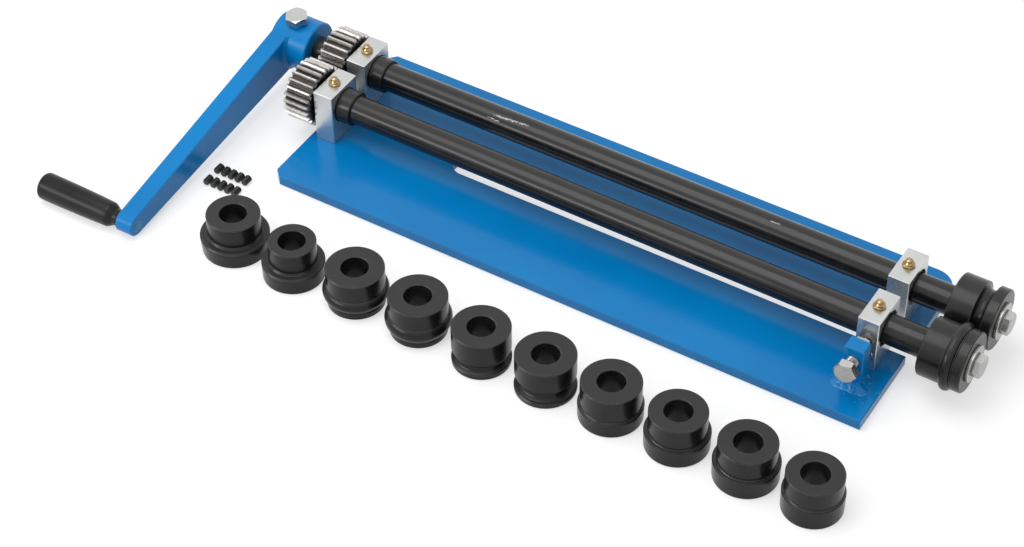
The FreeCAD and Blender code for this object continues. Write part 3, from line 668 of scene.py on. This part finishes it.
def head_rows(flats, height, base):
    """Rings of a hex head standing on base: washer face, sides, cone cut, crown."""
    flat = flats / 2 * HEAD_FACE
    slope = math.tan(math.radians(HEAD_CONE))
    rows = [[], [], [], [], []]
    for j in range(THREAD_SIDES):
        a = 2 * math.pi * j / THREAD_SIDES
        r = hex_radius(flats, a)
        drop = (r - flat) * slope
        levels = ((flat, 0.0), (r, HEAD_FOOT * drop), (r, height - drop), (flat, height),
                  (flat * CROWN, height - CROWN_DIP))
        for row, (level_r, z) in zip(rows, levels):
            row.append((level_r * math.cos(a), level_r * math.sin(a), base + z))
    return rows


def threaded_bolt(length):
    """M10 bolt standing on its tip at Z 0, head on top, threaded to the head."""
    rows = threaded_rows(M10_RADIUS, M10_PITCH, length, M10_LEAD_IN)
    return closed_rows(rows + head_rows(M10_FLATS, M10_HEAD, length))


def add_push_bolt(material):
    """Threaded pressure bolt along Y, its tip at the back."""
    low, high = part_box("push_bolt")
    verts, faces = threaded_bolt(high.y - low.y - M10_HEAD)
    centre = (low + high) / 2
    at = Matrix.Translation((centre.x, high.y, centre.z))
    verts = moved(verts, at @ Matrix.Rotation(math.radians(90), 4, "X"))
    piece = add_piece("push_bolt_threaded", verts, faces, "push_bolt", material)
    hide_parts("push_bolt")


def grub_screw(length):
    """Threaded rod with a flat point at Z 0 and a hex socket at its top."""
    rows = threaded_rows(M6_RADIUS, M6_PITCH, length, M6_LEAD_IN)
    rows.append(ring(THREAD_SIDES, length, lambda a: M6_RADIUS - M6_RIM))
    for z in (length - 0.1 * MM, length - M6_SOCKET_DEPTH):
        rows.append(ring(THREAD_SIDES, z, lambda a: hex_radius(M6_SOCKET, a)))
    return closed_rows(rows)


def separate_solids(mesh):
    """Boxes of a mesh's loose solids, in the order of their Y, then X."""
    parent = list(range(len(mesh.vertices)))

    def root(i):
        while parent[i] != i:
            parent[i] = parent[parent[i]]
            i = parent[i]
        return i

    seen = {}
    for v in mesh.vertices:
        key = tuple(round(c * 1e6) for c in v.co)
        parent[v.index] = seen.setdefault(key, v.index)
    for edge in mesh.edges:
        a, b = root(edge.vertices[0]), root(edge.vertices[1])
        parent[a] = b
    groups = {}
    for v in mesh.vertices:
        groups.setdefault(root(v.index), []).append(v.co)
    boxes = []
    for points in groups.values():
        low = Vector([min(p[i] for p in points) for i in range(3)])
        high = Vector([max(p[i] for p in points) for i in range(3)])
        boxes.append((low, high))
    return sorted(boxes, key=lambda b: (b[0].y, b[0].x))


def add_grub_screws(mesh, material):
    """Threaded grub screws lying along Y where the mesh has its solids."""
    screws = []
    for k, (low, high) in enumerate(separate_solids(mesh)):
        verts, faces = grub_screw(high.y - low.y)
        centre = (low + high) / 2
        at = Matrix.Translation((centre.x, low.y, centre.z))
        lying = Matrix.Rotation(math.radians(-90), 4, "X")
        spin = Matrix.Rotation(math.radians(GRUB_TURN * k), 4, "Z")
        screws.append((moved(verts, at @ lying @ spin), faces))
    verts, faces = joined(screws)
    piece = add_piece("grub_screws_threaded", verts, faces, "frame", material)
    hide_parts("spare_grub_screws")


# Weld

def foot_path(low, high, steps):
    """Points and outward directions round a post's foot, front left corner first."""
    corners = [Vector(xy) for xy in ((low.x, low.y), (high.x, low.y), (high.x, high.y), (low.x, high.y))]
    side = [(corners[(i + 1) % 4] - corners[i]).length for i in range(4)]
    total = sum(side) + 4 * WELD_CORNER
    path = []
    for s in range(steps):
        left = total * s / steps
        for i in range(4):
            way = (corners[(i + 1) % 4] - corners[i]).normalized()
            out = Vector((way.y, -way.x))
            if left < side[i]:
                path.append((corners[i] + way * left, out))
                break
            left -= side[i]
            if left < WELD_CORNER:
                a = math.radians(90) * left / WELD_CORNER
                path.append((corners[(i + 1) % 4], out * math.cos(a) + way * math.sin(a)))
                break
            left -= WELD_CORNER
    return path


def weld_height(at, share, tall):
    """Height of the bead at a point, share of the way from the post to its edge."""
    lumps = field.noise(Vector((at.x * LUMP_SCALE, at.y * LUMP_SCALE, 1.0)))
    beads = max(field.noise(Vector((at.x * BEAD_SCALE, at.y * BEAD_SCALE, 7.0))), 0.0)
    body = tall * (1 - share) ** WELD_SLOPE * (1 + WELD_LUMPS * lumps)
    return max(body + BEAD_RISE * beads * math.sin(math.pi * share), 0.0)


def weld_ring(at, out, floor):
    """Cross section of the bead at one place of the foot, from the post outwards."""
    behind = out.y > 0.3
    width = WELD_OUT_BACK if behind else WELD_OUT
    tall = WELD_UP_BACK if behind else WELD_UP
    place = Vector((at.x * LUMP_SCALE, at.y * LUMP_SCALE, 5.0)) + Vector((*out, 0)) * 0.7
    reach = width * (1 - WELD_WANDER + WELD_WANDER * field.noise(place))
    inside = at - out * WELD_INSIDE
    section = [(inside.x, inside.y, floor)]
    for k in range(WELD_ROWS, -1, -1):
        share = k / WELD_ROWS
        point = at + out * reach * share
        section.append((point.x, point.y, floor + weld_height(point, share, tall)))
    section.append((inside.x, inside.y, section[-1][2]))
    return section


def drop_of_metal(x, y, floor, size):
    """Small flat drop standing on floor at x, y."""
    rows = []
    for lift in DROP_LIFTS:
        radius = size * math.cos(math.radians(lift))
        height = floor - DROP_SUNK + DROP_HEIGHT * size * math.sin(math.radians(lift))
        rows.append([(x + px, y + py, height) for px, py, _ in ring(DROP_SIDES, 0, lambda a: radius)])
    return closed_rows(rows)


def spatter(centre, floor, number, random):
    """Drops of weld metal on the plate round a foot."""
    drops = []
    for _ in range(number):
        turn = math.radians(random.uniform(*SPATTER_TURN))
        away = random.uniform(*SPATTER_AWAY)
        size = random.uniform(*SPATTER_SIZE)
        x = centre.x + away * math.cos(turn)
        y = centre.y + away * math.sin(turn)
        drops.append(drop_of_metal(x, y, floor, size))
    return joined(drops)


def add_post_weld(material):
    """Lumpy weld bead between the post's foot and the plate, and its spatter."""
    low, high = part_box("pressure_post")
    rows = [weld_ring(at, out, low.z) for at, out in foot_path(low, high, WELD_STEPS)]
    count = len(rows[0])
    faces = ring_faces(count, len(rows))
    last = (len(rows) - 1) * count
    faces += [(last + j, last + (j + 1) % count, (j + 1) % count, j) for j in range(count)]
    bead = ([point for row in rows for point in row], faces)
    drops = spatter((low + high) / 2, low.z, SPATTER_COUNT, Random(SPATTER_SEED))
    verts, faces = joined([bead, drops])
    piece = add_piece("post_weld_bead", verts, faces, "frame", material, 60.0)
    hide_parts("post_weld")


# The whole scene

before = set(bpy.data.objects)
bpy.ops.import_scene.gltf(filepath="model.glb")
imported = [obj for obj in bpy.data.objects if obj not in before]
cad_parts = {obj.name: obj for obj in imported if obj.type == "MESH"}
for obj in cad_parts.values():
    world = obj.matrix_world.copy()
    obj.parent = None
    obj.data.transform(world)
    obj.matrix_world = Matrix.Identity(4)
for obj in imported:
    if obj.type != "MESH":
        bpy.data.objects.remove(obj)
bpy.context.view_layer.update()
add_camera()
add_world()
add_lamp("key", KEY_AT, KEY_POWER, KEY_SIZE, "ELLIPSE")
add_lamp("strip", STRIP_AT, STRIP_POWER, STRIP_SIZE, "RECTANGLE")
add_floor()
finishes = dress_nodes(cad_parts)
add_push_bolt(finishes["zinc_hardware"])
add_grub_screws(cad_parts["spare_grub_screws"].data, finishes["black_screws"])
add_post_weld(blue_paint("weld", *PAINT_WELD))

bpy.context.scene.view_settings.view_transform = "Standard"
